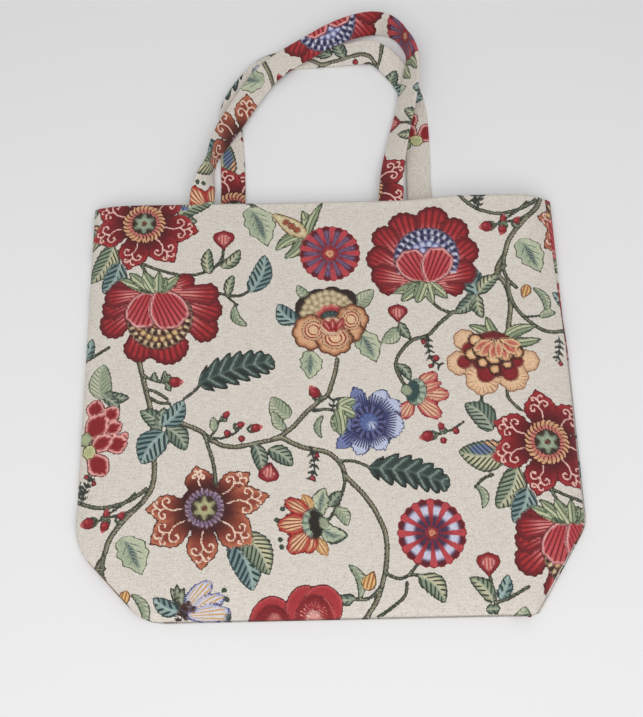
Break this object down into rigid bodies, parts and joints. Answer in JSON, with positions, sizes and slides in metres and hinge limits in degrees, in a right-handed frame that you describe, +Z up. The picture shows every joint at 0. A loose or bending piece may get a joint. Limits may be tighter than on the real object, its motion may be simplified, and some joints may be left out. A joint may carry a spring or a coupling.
{
  "type": "tote bag",
  "caption": "Flat-lying tapestry tote bag with a boxed base pushed in, two strap handles looped past the open mouth, and a plain lining.",
  "frame": {"origin": "middle of the back panel's face that rests on the table", "axes": "+Z up from the table through the bag's thickness; +Y from the base to the mouth and handles; +X to the right, seen from the front"},
  "size_m": [0.419, 0.5771, 0.031],
  "materials": {
    "tapestry": "woven, cream ground with red, green, blue and gold floral figures",
    "lining": "plain thin cotton, undyed"
  },
  "bodies": {
    "root": {"front_panel": "tapestry", "back_panel": "tapestry", "front_handle": "tapestry", "back_handle": "tapestry", "front_lining": "lining", "back_lining": "lining"}
  },
  "joints": []
}
